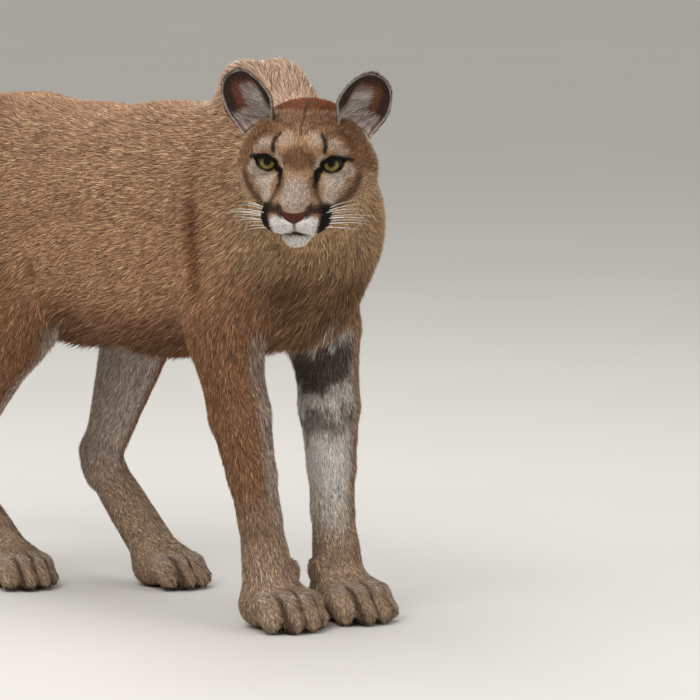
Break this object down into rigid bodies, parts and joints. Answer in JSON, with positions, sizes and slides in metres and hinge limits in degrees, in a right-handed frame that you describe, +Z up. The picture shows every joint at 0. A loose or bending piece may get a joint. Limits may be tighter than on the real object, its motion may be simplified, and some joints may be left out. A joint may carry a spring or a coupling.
{
  "type": "life-size cougar model",
  "caption": "Life-size cougar, a still museum-style model: standing with its forefeet close together, head turned to its right, tail hanging.",
  "frame": {"origin": "on the floor, under the middle of the whole cat's box", "axes": "+Y from the nose towards the tail, +Z up, +X to the cat's left"},
  "size_m": [0.4334, 1.3822, 0.6838],
  "materials": {
    "coat": "short warm tawny-brown fur",
    "pale_coat": "short white to cream fur",
    "dark_coat": "short black-brown fur",
    "nose_skin": "moist pebbled brick-red skin",
    "eye": "polished olive-yellow eye",
    "claw": "horn, half hidden in the fur",
    "whisker": "stiff white hairs",
    "pad": "matt dark pad skin"
  },
  "bodies": {
    "root": {"chest": "coat", "ear_left": "coat", "ear_right": "coat", "eye_left": "eye", "eye_right": "eye", "flank": "coat", "foot_left_hind": "coat", "foot_right_hind": "coat", "forearm_left_fore": "coat", "forearm_right_fore": "coat", "head": "coat", "lower_jaw": "pale_coat", "neck": "coat", "nose": "nose_skin", "paw_left_fore": "coat", "paw_right_fore": "coat", "rump": "coat", "shank_left_hind": "coat", "shank_right_hind": "coat", "shoulder_left_fore": "coat", "shoulder_right_fore": "coat", "tail_base": "coat", "tail_middle": "coat", "tail_tip": "dark_coat", "thigh_left_hind": "coat", "thigh_right_hind": "coat"}
  },
  "joints": []
}
